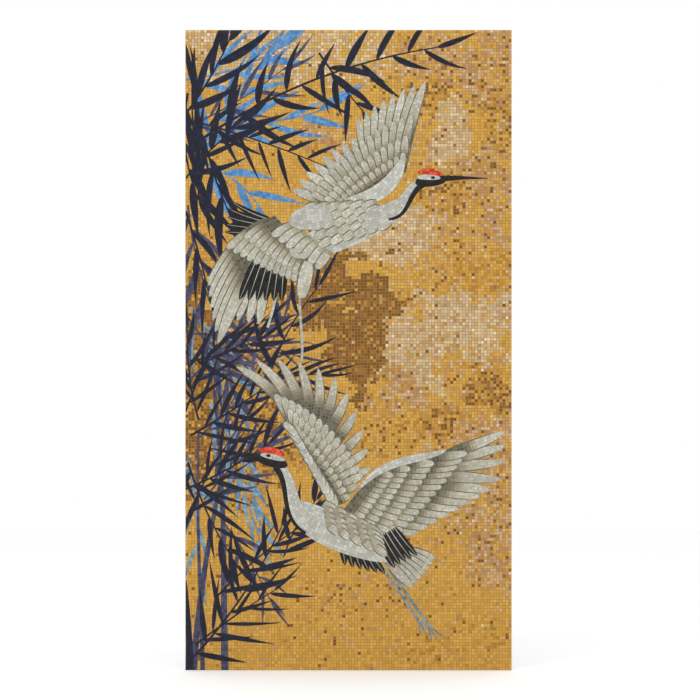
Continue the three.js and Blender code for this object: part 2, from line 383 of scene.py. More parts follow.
# ---- The picture, from the back of it to the front ---------
def draw_bamboo():
    lay = partial(spray, "blue_bamboo", "blue")
    lay((-609, 1010), (-250, 1130), -40, 6, 230, 24, 44, 8)
    lay((-560, 720), (-330, 1060), 40, 7, 240, 25, 42, 8)
    lay((-480, 860), (-90, 900), -50, 6, 230, 26, 40, 8)
    lay((-540, 700), (-300, 480), 60, 6, 220, 25, 40, 8)
    lay = partial(spray, "blue_bamboo", "steel")
    lay((-590, 160), (-430, -180), 30, 8, 210, 19, 40, 9)
    lay((-520, -200), (-350, -560), 30, 7, 190, 17, 36, 9)
    lay((-440, -430), (-330, -720), 20, 7, 160, 15, 38, 7)
    lay((-600, -400), (-560, -820), 20, 6, 180, 16, 38, 9)
    kind = ("slate_bamboo", "slate")
    lay = partial(spray, *kind)
    stroke(*kind, "taper", 27, [(-462, BOTTOM), (-470, -900), (-455, -600), (-500, -150)])
    stroke(*kind, "taper", 26, [(-580, BOTTOM), (-560, -950), (-520, -650), (-440, -330)])
    stroke(*kind, "taper", 17, [(-545, BOTTOM), (-545, -1000), (-570, -760), (-560, -300)])
    lay((-609, 830), (-230, 1060), -30, 7, 190, 15, 48, 6)
    lay((-600, 540), (-470, 60), -40, 10, 230, 21, 42, 8)
    lay((-600, 120), (-430, -160), 20, 8, 210, 20, 44, 8)
    lay((-600, -120), (-300, 120), 30, 9, 200, 17, 44, 7)
    lay((-540, -560), (-300, -330), 30, 8, 200, 16, 44, 7)
    lay((-590, 60), (-200, -20), 40, 10, 170, 12, 50, 6)
    lay((-560, -330), (-240, 120), -50, 10, 170, 12, 50, 6)
    lay((-470, -640), (-290, -940), 20, 8, 150, 13, 46, 6)
    kind = ("navy_bamboo", "navy")
    lay = partial(spray, *kind)
    lay((-560, 780), (330, 1130), 110, 15, 205, 24, 66, 10, 20)
    lay((-600, 860), (-95, 690), 20, 13, 165, 16, 58, 7, 8)
    lay((-110, 1110), (90, 850), -12, 8, 185, 22, 46, 7, 20)
    lay((-609, 880), (-440, 1170), -20, 7, 250, 28, 38, 9)
    lay((-600, 960), (-560, 560), -60, 8, 250, 27, 34, 9)
    lay((-540, 800), (-400, 420), -30, 8, 250, 27, 30, 8)
    lay((-609, 520), (-520, 200), 10, 6, 220, 20, 34, 8)
    lay((-310, -150), (-110, 240), 50, 8, 205, 17, 60, 7, 24)
    lay((-320, -120), (-110, -90), 10, 7, 190, 13, 36, 7)
    lay((-590, -40), (-330, 40), -20, 8, 200, 16, 42, 7)
    lay((-590, -320), (-300, -130), -10, 10, 190, 16, 48, 8)
    lay((-560, -260), (-600, 80), 30, 8, 190, 15, 42, 7)
    lay((-609, -520), (-300, -350), -20, 10, 190, 16, 48, 8)
    lay((-600, -420), (-420, -800), -30, 9, 200, 19, 44, 8)
    lay((-600, -1170), (-250, -660), -50, 12, 200, 18, 58, 9, 8)
    lay((-500, -930), (-150, -640), 30, 8, 180, 16, 46, 7)
    lay((-570, -1100), (-280, -900), 10, 7, 180, 14, 44, 7, 8)
    lay((-240, -770), (-120, -560), 30, 6, 160, 18, 46, 6)
    lay((-609, 640), (-380, 860), 24, 8, 210, 24, 42, 7)
    lay((-572, 740), (-585, 1000), 8, 4, 230, 24, 26, 8)
    lay((-609, -230), (-420, 130), 30, 9, 180, 13, 46, 7)
    lay((-609, -640), (-380, -250), 30, 9, 180, 13, 46, 7)
    stroke(*kind, "taper", 30, [(-594, BOTTOM), (-592, -1050), (LEFT - 2, -860)])


def draw_upper_crane():
    white, black = ("upper_crane_white", "white"), ("upper_crane_black", "black")
    quills, scales = partial(fan, *white, "quill"), partial(fan, *white, "scale")
    grey, red = ("upper_crane_legs", "shin"), ("upper_crane_crown", "red")
    # Back plumes and legs
    fan(*black, "quill", 5, ((-290, 450), (-280, 484)), (190, 166), (172, 170), (26, 22),
        (-14, -20))
    stroke(*grey, "even", 9, [(-259, 280), (-266, 200), (-288, 130), (-302, 84)])
    stroke(*grey, "even", 9, [(-183, 220), (-182, 90), (-166, 20), (-176, -44)])
    # Raised wing
    quills(8, ((-10, 545), (96, 612)), (170, 118), (208, 200), (40, 36), (-10, -8))
    quills(8, ((104, 616), (196, 662)), (112, 82), (262, 358), (36, 38), (-14, -14))
    scales(16, ((-10, 548), (200, 676)), (168, 84), (136, 206), (31, 31), (-8, -8))
    scales(14, ((0, 545), (204, 670)), (166, 86), (92, 132), (29, 29))
    scales(12, ((10, 545), (204, 662)), (164, 90), (56, 76), (25, 25))
    stroke(*white, "oval", 58, [(-16, 556), (156, 560), (204, 716)])
    # Near wing
    quills(3, ((-334, 330), (-296, 318)), (248, 258), (236, 226), (36, 36), (4, 4), (0.3, 0.72))
    quills(6, ((-394, 426), (-338, 346)), (231, 240), (226, 356), (42, 44), (8, 10), (0.2, 0.64))
    fan(*black, "quill", 6, ((-338, 350), (-240, 324)), (246, 264), (176, 140), (34, 34), (2, 4))
    scales(12, ((-300, 484), (-140, 344)), (212, 242), (186, 106), (37, 35), (4, 6))
    scales(12, ((-268, 492), (-118, 352)), (211, 242), (140, 104), (32, 32))
    # Body and thigh
    stroke(*white, "oval", 112, [(-222, 366), (-116, 386), (36, 470), (184, 500)])
    blade(*white, "scale", (-150, 330), 259, 140, 50, 0, PLAIN, 1.0)
    scales(7, ((-205, 470), (-70, 372)), (208, 234), (92, 84), (34, 34), (0, 0), SOFT)
    for k in range(6):
        row = ((-112 + 44 * k, 540 + 2 * k), (-62 + 44 * k, 418 + 13 * k))
        scales(5, row, (196, 214), (62, 58), (34, 30), (0, 0), SOFT)
    stroke(*white, "oval", 58, [(70, 506), (150, 500), (212, 566)])
    stroke(*white, "oval", 88, [(-62, 502), (-140, 500), (-222, 478)])
    # Neck and head
    stroke(*white, "taper", 58, [(60, 478), (214, 480), (192, 600), (284, 638)])
    stroke(*black, "widen", 22, [(150, 488), (240, 496), (212, 596), (296, 626)])
    stroke(*black, "oval", 46, [(250, 624), (300, 638), (366, 636)])
    stroke(*black, "point", 24, [(335, 640), (430, 646), (520, 640)])
    stroke(*white, "oval", 22, [(256, 644), (302, 650), (344, 642)])
    stroke(*red, "oval", 22, [(258, 662), (300, 676), (352, 652)])
    stroke(*black, "oval", 10, [(308, 644), (316, 645), (323, 643)])


def draw_lower_crane():
    white, black = ("lower_crane_white", "white"), ("lower_crane_black", "black")
    quills, scales = partial(fan, *white, "quill"), partial(fan, *white, "scale")
    grey, red = ("lower_crane_legs", "leg"), ("lower_crane_crown", "red")
    # Legs and toes
    for foot in ((300, -1030), (262, -1010)):
        fan(*grey, "taper", 3, (foot, foot), (278, 322), (56, 64), (8, 8))
    stroke(*grey, "even", 10, [(130, -780), (190, -880), (240, -940), (300, -1030)])
    stroke(*grey, "even", 9, [(100, -770), (160, -870), (215, -940), (262, -1010)])
    # Tail and the dark feathers below
    quills(7, ((196, -744), (150, -796)), (-14, -46), (134, 128), (34, 32), (0, 0), SOFT)
    fan(*black, "quill", 6, ((-24, -706), (72, -744)), (-86, -58), (98, 112), (27, 25), (6, 6))
    # Raised wing
    quills(6, ((-190, -300), (-112, -340)), (112, 68), (356, 246), (36, 35), (44, 14), (0.4, 0.78))
    quills(5, ((-100, -350), (-50, -500)), (56, 20), (214, 146), (36, 34), (14, 8))
    scales(15, ((-195, -310), (-55, -520)), (112, 24), (166, 122), (36, 34), (14, 6))
    scales(14, ((-190, -330), (-50, -545)), (106, 26), (118, 94), (29, 28))
    scales(12, ((-180, -350), (-50, -570)), (100, 26), (68, 60), (26, 26))
    scales(11, ((-52, -590), (-196, -318)), (100, 128), (54, 66), (34, 26), (6, 14), PLAIN)
    # Near wing
    quills(8, ((130, -655), (250, -480)), (-14, -10), (130, 285), (40, 42), (2, 2), (0.4, 0.8))
    quills(4, ((262, -456), (350, -390)), (-8, 13), (310, 250), (40, 36), (6, 14), (0.3, 0.7))
    scales(14, ((70, -650), (280, -408)), (-24, 6), (122, 165), (33, 32), (0, 4))
    scales(13, ((40, -640), (200, -424)), (-32, 0), (112, 120), (31, 31))
    scales(12, ((10, -620), (140, -436)), (-38, -6), (96, 92), (29, 29))
    scales(11, ((-30, -610), (90, -456)), (-42, -10), (84, 78), (27, 27))
    stroke(*white, "oval", 30, [(40, -520), (130, -400), (260, -416), (366, -374)])
    # Body
    stroke(*white, "oval", 132, [(-218, -566), (-130, -670), (20, -690), (166, -782)])
    fan(*black, "quill", 5, ((112, -700), (172, -664)), (-64, -56), (128, 134), (29, 25), (4, 10))
    for k in range(5):
        row = ((-92 + 40 * k, -572 - 21 * k), (-78 + 44 * k, -650 - 20 * k))
        scales(5, row, (-34, -42), (64, 58), (32, 28), (0, 0), SOFT)
    # Neck and head
    stroke(*white, "taper", 62, [(-110, -665), (-240, -620), (-186, -500), (-262, -420)])
    stroke(*black, "widen", 22, [(-160, -684), (-268, -620), (-210, -500), (-276, -436)])
    stroke(*black, "oval", 46, [(-228, -432), (-285, -412), (-352, -398)])
    stroke(*black, "point", 27, [(-325, -402), (-420, -390), (-520, -366)])
    stroke(*white, "oval", 22, [(-236, -412), (-285, -396), (-330, -390)])
    stroke(*red, "oval", 24, [(-238, -394), (-285, -366), (-338, -376)])
    stroke(*black, "oval", 11, [(-291, -396), (-299, -394), (-307, -394)])


draw_bamboo()
draw_upper_crane()
draw_lower_crane()


# ---- Choosing the glass ------------------------------------
TONES = 0.025  # how much lighter or darker one tessera is than the next


def shade(glass, rng, lighter=0.0):
    """One linear colour out of a batch, a little lighter or darker than its neighbours."""
    r, g, b, _ = linear(rng.choice(GLASS[glass]))
    gain = (1 + lighter) * (1 + rng.gauss(0, TONES))
    return (r * gain, g * gain, b * gain)


def blend(first, second, t):
    return tuple(mixed(a, b, t) for a, b in zip(first, second))


def figure_colour(drawn, along, across, rng):
    """The glass of one tessera in a stroke: feathers go from grey at the root to white."""
    if drawn.glass != "white":
        return shade(drawn.glass, rng)
    if not drawn.fade:
        return shade("cool", rng)
    low, high = drawn.fade
    warm = blend(shade("shadow", rng), shade("cream", rng),
                 smooth(low, mixed(low, high, 0.7), along))
    clean = shade("white" if rng.random() < 0.7 else "cool", rng, -0.1 * abs(across - 0.6))
    return blend(warm, clean, smooth(mixed(low, high, 0.3), high, along))


# Each cloud in the ground is a mixture of glasses, so many parts of each.
MIXTURES = {
    "gold": {"gold": 97, "honey": 2, "rose": 1},
    "mixed": {"gold": 60, "rose": 22, "sand": 12, "honey": 6},
    "honey": {"honey": 55, "gold": 38, "amber": 7},
    "sand": {"sand": 78, "gold": 8, "rose": 8, "pale": 5, "amber": 1},
    "amber": {"amber": 76, "dark": 14, "honey": 9, "rose": 1},
    "umber": {"amber": 30, "honey": 42, "gold": 18, "dark": 3, "rose": 7},
    "rose": {"rose": 54, "gold": 22, "sand": 9, "honey": 8, "amber": 7},
    "flecks": {"gold": 72, "amber": 9, "honey": 9, "rose": 10},
}

# The clouds from the back to the front: middle, half width and height, mixture, and weight.
CLOUDS = (
    (430, 150, 330, 1000, "mixed", 0.6),
    (-420, 1120, 330, 150, "sand", 0.75),
    (-40, 1090, 300, 120, "sand", 0.6),
    (130, 900, 90, 190, "honey", 0.3),
    (300, 1090, 180, 110, "rose", 0.7),
    (520, 1050, 150, 170, "rose", 0.7),
    (560, 860, 120, 150, "umber", 0.6),
    (290, 930, 130, 110, "umber", 0.6),
    (380, 800, 85, 150, "sand", 0.95),
    (250, 770, 80, 110, "rose", 0.5),
    (520, 610, 150, 170, "rose", 0.75),
    (330, 560, 120, 120, "umber", 0.62),
    (410, 420, 190, 110, "rose", 0.45),
    (480, 290, 170, 110, "honey", 0.6),
    (120, 420, 210, 110, "sand", 0.95),
    (330, 250, 90, 80, "umber", 0.4),
    (-120, 230, 130, 220, "amber", 0.9),
    (60, 80, 160, 260, "amber", 0.97),
    (420, 80, 220, 150, "sand", 0.8),
    (250, -40, 110, 190, "sand", 0.9),
    (190, -170, 110, 100, "rose", 0.8),
    (420, -90, 170, 60, "umber", 0.4),
    (540, -170, 130, 75, "umber", 0.85),
    (120, -330, 130, 90, "flecks", 0.8),
    (370, -290, 110, 80, "umber", 0.7),
    (500, -330, 150, 80, "rose", 0.8),
    (230, -260, 120, 60, "honey", 0.5),
    (570, -640, 130, 330, "rose", 0.75),
    (440, -700, 110, 190, "rose", 0.45),
    (-70, 790, 120, 80, "rose", 0.7),
    (-510, 330, 130, 260, "honey", 0.5),
    (-520, 20, 150, 260, "amber", 0.75),
    (-430, -240, 220, 300, "umber", 0.92),
    (-540, -300, 110, 260, "amber", 0.6),
    (-330, -420, 200, 160, "umber", 0.5),
    (0, -920, 220, 90, "flecks", 0.8),
    (60, -1080, 300, 110, "flecks", 0.3),
    (420, -1090, 200, 110, "honey", 0.4),
)


def ground_glass(x, z, rng):
    """Which glass a square of the ground is, from the clouds that drift over it."""
    # Broad noise bends the clouds' edges, and noise three squares wide breaks them up.
    drift = 0.62 * noise.fractal(Vector((x, z, 0)) / 110, 0.8, 2.0, 4)
    mixture = "gold"
    for i, (cx, cz, rx, rz, kind, weight) in enumerate(CLOUDS):
        reach = math.hypot((x - cx) / rx, (z - cz) / rz) + drift
        patch = 0.5 + 0.9 * noise.noise(Vector((x / 34, z / 26, 5 * i)))
        if mixed(patch, rng.random(), 0.5) < weight * (1 - smooth(0.68, 1.18, reach)):
            mixture = kind
    parts = MIXTURES[mixture]
    return rng.choices(list(parts), parts.values())[0]


# ---- Making tesserae ---------------------------------------
MARK = "tessera"  # the number of each face's tessera in its piece


def prisms(name, cells, back, front):
    """An object of closed upright blocks on flat outlines in millimetres."""
    vertices, faces, marks = [], [], []
    for mark, outline in cells:
        count, first = len(outline), len(vertices)
        vertices += [(x * MM, front, z * MM) for x, z in outline]
        vertices += [(x * MM, back, z * MM) for x, z in outline]
        faces.append(range(first, first + count))
        faces.append(range(first + 2 * count - 1, first + count - 1, -1))
        for i in range(count):
            j = (i + 1) % count
            faces.append((first + i, first + count + i, first + count + j, first + j))
        marks += [mark] * (count + 2)
    mesh = bpy.data.meshes.new(name)
    mesh.from_pydata(vertices, [], [list(face) for face in faces])
    mesh.attributes.new(MARK, "INT", "FACE").data.foreach_set("value", marks)
    made = bpy.data.objects.new(name, mesh)
    bpy.context.scene.collection.objects.link(made)
    return made


def extent(outline):
    xs, zs = zip(*outline)
    return min(xs), max(xs), min(zs), max(zs)


MARGIN = 0.4  # extra joint round whatever lies on top, and at the edges
BEYOND = 2 * MM  # how far a cutter or tint reaches past what it has to meet
CUTTERS = {}
SCRATCH = []  # blocks that are only cut with or joined, removed at the end
SAMPLES = 12
# Places on the centre line of each stroke, and how far the stroke may reach from them.
PLACES = np.array([[drawn.place(i / SAMPLES) for i in range(SAMPLES + 1)] for drawn in STROKES])
REACHES = np.array([
    (drawn.width + drawn.length / SAMPLES) / 2 + RING + MARGIN for drawn in STROKES])


def cutter(index):
    """The block that clears the room of one stroke in what lies under it."""
    if index not in CUTTERS:
        outline = counter_clockwise(STROKES[index].silhouette(MARGIN))
        CUTTERS[index] = prisms(f"cutter_{index}", [(0, outline)], TESSERA_BACK + BEYOND,
                                FACE - BEYOND)
        SCRATCH.append(CUTTERS[index])
    return CUTTERS[index]


def over_stroke(index):
    """The later strokes that come near one stroke."""
    gaps = np.linalg.norm(PLACES[index + 1:, :, None] - PLACES[index], axis=3).min((1, 2))
    return index + 1 + np.flatnonzero(gaps < REACHES[index] + REACHES[index + 1:])


def over_field(room):
    """The strokes that come near an upright field, from its left to its right."""
    left = (PLACES[:, :, 0] - REACHES[:, None]).min(1)
    right = (PLACES[:, :, 0] + REACHES[:, None]).max(1)
    return np.flatnonzero((left < room[1]) & (right > room[0]))


def combined(made, operation, blocks):
    """Cuts a piece with some blocks or joins them to it, once that is applied."""
    group = bpy.data.collections.new(f"with_{made.name}")
    bpy.context.scene.collection.children.link(group)
    for block in blocks:
        group.objects.link(block)
    if blocks:
        change = made.modifiers.new("combine", "BOOLEAN")
        change.operation, change.solver = operation, "MANIFOLD"
        change.operand_type, change.collection = "COLLECTION", group
    return group


def cut_by_strokes(made, indices):
    """Takes away what some strokes cover, once the cuts are applied."""
    return combined(made, "DIFFERENCE", [cutter(int(index)) for index in indices])


def only(made):
    bpy.ops.object.select_all(action="DESELECT")
    for each in made:
        each.select_set(True)
    bpy.context.view_layer.objects.active = made[0]


def apply_cuts(made, collections):
    """Applies the cuts on all the objects at once and joins them in the first."""
    only(made)
    bpy.ops.object.convert(target="MESH")
    for group in collections:
        bpy.data.collections.remove(group)
    only(made)
    if len(made) > 1:
        bpy.ops.object.join()
    return made[0]


def read(items, key, width=1, kind=np.float32):
    """One number or vector of each item of a mesh, as an array."""
    flat = np.empty(len(items) * width, kind)
    items.foreach_get(key, flat)
    return flat.reshape(-1, width) if width > 1 else flat


def corner_arrays(mesh):
    """For each corner of each face: its vertex, its face, and the corners before and after."""
    first = read(mesh.polygons, "loop_start", kind=np.int32)
    total = read(mesh.polygons, "loop_total", kind=np.int32)
    vertex = read(mesh.loops, "vertex_index", kind=np.int32)
    face = np.repeat(np.arange(len(first)), total)
    index = np.arange(len(vertex))
    after = np.where(index + 1 < first[face] + total[face], index + 1, first[face])
    before = np.where(index > first[face], index - 1, first[face] + total[face] - 1)
    return first, total, vertex, face, before, after


def places(mesh):
    return read(mesh.vertices, "co", 3)


def facing(mesh):
    """How squarely each face looks back, from -1 at the front to 1 at the back."""
    return read(mesh.polygons, "normal", 3)[:, 1]


def edit_faces(made, chosen):
    """Opens a piece for editing with only the chosen faces selected."""
    mesh = made.data
    mesh.vertices.foreach_set("select", np.zeros(len(mesh.vertices), bool))
    mesh.edges.foreach_set("select", np.zeros(len(mesh.edges), bool))
    mesh.polygons.foreach_set("select", chosen)
    only([made])
    bpy.ops.object.mode_set(mode="EDIT")
    bpy.ops.mesh.select_mode(type="FACE")


THINNEST = 1.2 * MM  # the least of twice a tessera's area over its circumference
LEAST_LEFT = 7 * MM * MM  # the least area that the cuts may leave of a tessera


def drop_slivers(made):
    """Deletes tesserae that a cut left too thin or too small to set."""
    mesh = made.data
    first, _, vertex, _, _, after = corner_arrays(mesh)
    co = places(mesh)
    around = np.add.reduceat(np.linalg.norm(co[vertex[after]] - co[vertex], axis=1), first)
    area = read(mesh.polygons, "area")
    useless = (2 * area < THINNEST * around) | (area < LEAST_LEFT)
    edit_faces(made, (facing(mesh) < -FACING) & useless)
    bpy.ops.mesh.select_linked()
    bpy.ops.mesh.delete(type="VERT")
    bpy.ops.object.mode_set(mode="OBJECT")


SHARPEST = 0.35  # limits how far a very sharp corner is drawn in


def wear_edges(made, chamfer, rng):
    """Gives each tessera a worn arris and sets it a hair out of true."""
    edit_faces(made, facing(made.data) < -FACING)
    bpy.ops.mesh.inset(thickness=0, depth=0, use_individual=True)
    bpy.ops.object.mode_set(mode="OBJECT")
    mesh = made.data
    top = read(mesh.polygons, "select", kind=bool)
    first, total, vertex, face, before, after = corner_arrays(mesh)
    co = places(mesh)
    at = co[vertex][:, (0, 2)].astype(float)
    ahead = at[after] - at
    ahead /= np.maximum(np.linalg.norm(ahead, axis=1), 1e-9)[:, None]
    behind = ahead[before]
    inward = np.stack([-ahead[:, 1] - behind[:, 1], ahead[:, 0] + behind[:, 0]], 1)
    straight = 1 + (ahead * behind).sum(1)
    move = inward / np.maximum(straight, SHARPEST)[:, None] * chamfer * MM
    mine = top[face]
    co[vertex[mine], 0] += move[mine, 0]
    co[vertex[mine], 2] += move[mine, 1]
    # Each face dips a little to one side.
    middle = np.add.reduceat(co[vertex], first) / total[:, None]
    tilt = rng.normal(0, LEAN, (len(middle), 2))
    sunk = rng.uniform(0, PRESSED, len(middle))
    depth = ((co[vertex] - middle[face])[:, (0, 2)] * tilt[face]).sum(1) + sunk[face]
    co[vertex[mine], 1] = FACE + EMBEDDED + depth[mine].clip(-PRESSED, 2 * PRESSED)
    mesh.vertices.foreach_set("co", co.ravel())
    mesh.update()


def spread_marks(mesh):
    """Every face of a tessera gets its number, also those that a cut made."""
    _, _, vertex, face, _, _ = corner_arrays(mesh)
    marks = read(mesh.attributes[MARK].data, "value", kind=np.int32)
    sure = np.abs(facing(mesh)) > FACING
    of_vertex = np.zeros(len(mesh.vertices), np.int32)
    of_vertex[vertex[sure[face]]] = marks[face[sure[face]]]
    seen = np.zeros(len(marks), np.int32)
    seen[face] = of_vertex[vertex]
    marks = np.where(sure, marks, seen)
    mesh.attributes[MARK].data.foreach_set("value", marks)
    return marks


def lay_out(mesh, marks):
    """A flat map with one square for each tessera, its sides folded out round its face."""
    _, _, vertex, face, _, _ = corner_arrays(mesh)
    co = places(mesh)
    order = np.unique(marks)
    slot = np.searchsorted(order, marks)[face]
    across = math.ceil(math.sqrt(len(order)))
    at = co[vertex][:, (0, 2)].astype(float)
    low = np.full((len(order), 2), np.inf)
    high = np.full((len(order), 2), -np.inf)
    np.minimum.at(low, slot, at)
    np.maximum.at(high, slot, at)
    size = np.maximum((high - low).max(1), 1e-6)
    centre = (low + high) / 2
    local = (at - centre[slot]) / size[slot][:, None]
    # The deeper behind the face, in millimetres, the further out in its square.
    depth = (co[vertex, 1] - FACE - EMBEDDED) / MM
    local *= np.interp(depth, (0.0, 0.6, 4.0), (0.62, 0.74, 0.9))[:, None]
    # The backs are small and go in a corner of it, out of the way.
    back = (facing(mesh) > FACING)[face]
    local[back] = local[back] * 0.06 + 0.46
    uv = (np.stack([slot % across, slot // across], 1) + 0.5 + local) / across
    layer = mesh.uv_layers.new(name="OFBake")
    layer.data.foreach_set("uv", uv.astype(np.float32).ravel())


def paint(mesh, name, colours, marks):
    """A colour for each face, by the number of its tessera."""
    layer = mesh.attributes.new(name, "FLOAT_COLOR", "FACE")
    layer.data.foreach_set("color", np.array(colours, np.float32)[marks].ravel())


def clad(made, material):
    made.data.materials.clear()
    made.data.materials.append(material)


def finish_tesserae(made, name, colours, sizes, seed):
    """Cleans up the tesserae of one piece, and gives them their arrises, map and glass."""
    drop_slivers(made)
    wear_edges(made, sizes.chamfer, np.random.default_rng(seed))
    mesh = made.data
    made.name = mesh.name = name
    marks = spread_marks(mesh)
    paint(mesh, "glass", [(*colour, 1.0) for colour in colours], marks)
    lay_out(mesh, marks)
    clad(made, bpy.data.materials.get("vitreous_glass") or vitreous_glass())
    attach(made, "root")
    return made


BATCH = 0.06  # how much lighter or darker one stroke is than the next


def glass_piece(name, sizes, seed):
    """All the tesserae of one colour area, cut by what is drawn over them."""
    rng = random.Random(seed)
    course = sizes.leaf_course if "bamboo" in name else sizes.course
    made, collections, colours = [], [], []
    for index, drawn in enumerate(STROKES):
        if drawn.piece != name:
            continue
        cells = []
        batch = rng.gauss(0, BATCH)
        for outline, along, across in drawn.cells(course, sizes.fine_joint):
            if inside_panel(outline):
                cells.append((len(colours), outline))
                colour = figure_colour(drawn, along, across, rng)
                colours.append([channel * (1 + batch) for channel in colour])
        if not cells:
            continue
        block = prisms(f"{name}_{index}", cells, TESSERA_BACK, FACE + EMBEDDED + sizes.chamfer * MM)
        collections.append(cut_by_strokes(block, over_stroke(index)))
        made.append(block)
    joined = apply_cuts(made, collections)
    return finish_tesserae(joined, name, colours, sizes, seed)


def inside_panel(outline):
    x0, x1, z0, z1 = extent(outline)
    return min(x0 - LEFT, RIGHT - x1, z0 - BOTTOM, TOP - z1) > MARGIN


UNEVEN = 0.2  # how far a corner of a square is off, in millimetres


def ground_piece(name, columns, sizes, seed):
    """The straight grid of squares in some columns of the ground."""
    rng = random.Random(seed)
    cells, colours = [], []
    side = sizes.pitch - sizes.joint
    for column in columns:
        for row in range(round((TOP - BOTTOM) / sizes.pitch)):
            x = LEFT + column * sizes.pitch + sizes.joint / 2
            z = BOTTOM + row * sizes.pitch + sizes.joint / 2
            outline = [(x, z), (x + side, z), (x + side, z + side), (x, z + side)]
            cells.append((len(colours), [
                (px + rng.uniform(-UNEVEN, UNEVEN), pz + rng.uniform(-UNEVEN, UNEVEN))
                for px, pz in outline]))
            colours.append(shade(ground_glass(x, z, rng), rng))
    block = prisms(name, cells, TESSERA_BACK, FACE + EMBEDDED + sizes.chamfer * MM)
    room = extent([p for _, outline in cells for p in outline])
    made = apply_cuts([block], [cut_by_strokes(block, over_field(room))])
    return finish_tesserae(made, name, colours, sizes, seed)


# ---- Materials ---------------------------------------------
def node(tree, kind, settings=None, **links):
    """Adds a node, sets its values and links its sockets."""
    made = tree.nodes.new(kind)
    for key, value in (settings or {}).items():
        if hasattr(made, key):
            setattr(made, key, value)
        else:
            made.inputs[key].default_value = value
    for key, source in links.items():
        tree.links.new(source, made.inputs[key.replace("_", " ")])
    return made


def new_material(name):
    made = bpy.data.materials.new(name)
    made.use_nodes = True
    tree = made.node_tree
    tree.nodes.clear()
    surface = node(tree, "ShaderNodeBsdfPrincipled")
    output = node(tree, "ShaderNodeOutputMaterial")
    tree.links.new(surface.outputs[0], output.inputs[0])
    return made, tree, surface


def grain(tree, place, size, detail):
    """Noise with grains of a size in millimetres."""
    settings = {"Scale": 1 / (size * MM), "Detail": detail}
    return node(tree, "ShaderNodeTexNoise", settings, Vector=place).outputs["Fac"]


def dress(tree, surface, colour, relief, strength, depth):
    """Gives a surface its colour, and its relief of a depth in millimetres."""
    tree.links.new(colour.outputs[0], surface.inputs["Base Color"])
    settings = {"Strength": strength, "Distance": depth * MM}
    bump = node(tree, "ShaderNodeBump", settings, Height=relief)
    tree.links.new(bump.outputs[0], surface.inputs["Normal"])


def vitreous_glass():
    """Opaque pressed glass: even colour, faint streaks, a fine pitted skin and a soft gloss."""
    made, tree, surface = new_material("vitreous_glass")
    place = node(tree, "ShaderNodeTexCoord").outputs["Object"]
    tint = node(tree, "ShaderNodeAttribute", {"attribute_name": "glass"}).outputs["Color"]
    streaks = grain(tree, place, 4, 4.0)
    shift = node(tree, "ShaderNodeMapRange", {"To Min": 0.93, "To Max": 1.07}, Value=streaks)
    tinted = node(tree, "ShaderNodeVectorMath", {"operation": "SCALE"}, Vector=tint,
                  Scale=shift.outputs["Result"])
    gloss = node(tree, "ShaderNodeMapRange", {"To Min": 0.26, "To Max": 0.42}, Value=streaks)
    tree.links.new(gloss.outputs["Result"], surface.inputs["Roughness"])
    dress(tree, surface, tinted, grain(tree, place, 1.2, 2.0), 0.25, 0.1)
    surface.inputs["IOR"].default_value = 1.5
    surface.inputs["Specular IOR Level"].default_value = 0.25
    return made


def cement(name, colour, sand_size, roughness):
    """Cement paste with sand in it: matt, mottled and gritty. No colour means the tint's."""
    made, tree, surface = new_material(name)
    place = node(tree, "ShaderNodeTexCoord").outputs["Object"]
    cloud, sand = grain(tree, place, 60, 6.0), grain(tree, place, sand_size, 3.0)
    both = node(tree, "ShaderNodeMath", {"operation": "ADD"})
    tree.links.new(cloud, both.inputs[0])
    tree.links.new(sand, both.inputs[1])
    gain = node(tree, "ShaderNodeMapRange",
                {"From Min": 0.7, "From Max": 1.3, "To Min": 0.8, "To Max": 1.15},
                Value=both.outputs[0])
    tinted = node(tree, "ShaderNodeVectorMath", {"operation": "SCALE"},
                  Scale=gain.outputs["Result"])
    if colour:
        tinted.inputs["Vector"].default_value = linear(colour)[:3]
    else:
        tint = node(tree, "ShaderNodeAttribute", {"attribute_name": "tint"})
        tree.links.new(tint.outputs["Color"], tinted.inputs["Vector"])
    dress(tree, surface, tinted, sand, 0.5, 0.3)
    surface.inputs["Roughness"].default_value = roughness
    return made


# ---- Operators ---------------------------------------------
def nodes_named(prefix):
    return [name for name in frame["nodes"] if name.startswith(prefix)]


class MOSAIC_OT_board(bpy.types.Operator):
    """Finish the backing board and the setting bed, which keep their plain shapes"""
    bl_idname = "mosaic.board"
    bl_label = "Board and bed"

    def execute(self, context):
        colours = context.scene.mosaic_colours
        for name, material in (
                ("backing_board", cement("fibre_cement_board", colours.board, 0.8, 0.85)),
                ("setting_bed", cement("thinset_adhesive", colours.grout, 0.5, 0.9))):
            clad(frame["nodes"][name], material)
        return {"FINISHED"}


def grout_outline(drawn):
    """What the tinted grout of a stroke fills, within the edges of the grout."""
    left, right = LEFT + GROUT_INSET, RIGHT - GROUT_INSET
    bottom, top = BOTTOM + GROUT_INSET, TOP - GROUT_INSET
    return counter_clockwise([(min(max(x, left), right), min(max(z, bottom), top))
                              for x, z in drawn.silhouette(RING if drawn.fade else MARGIN)])


PROUDER = 0.008 * MM  # from one layer of tinted grout to the next


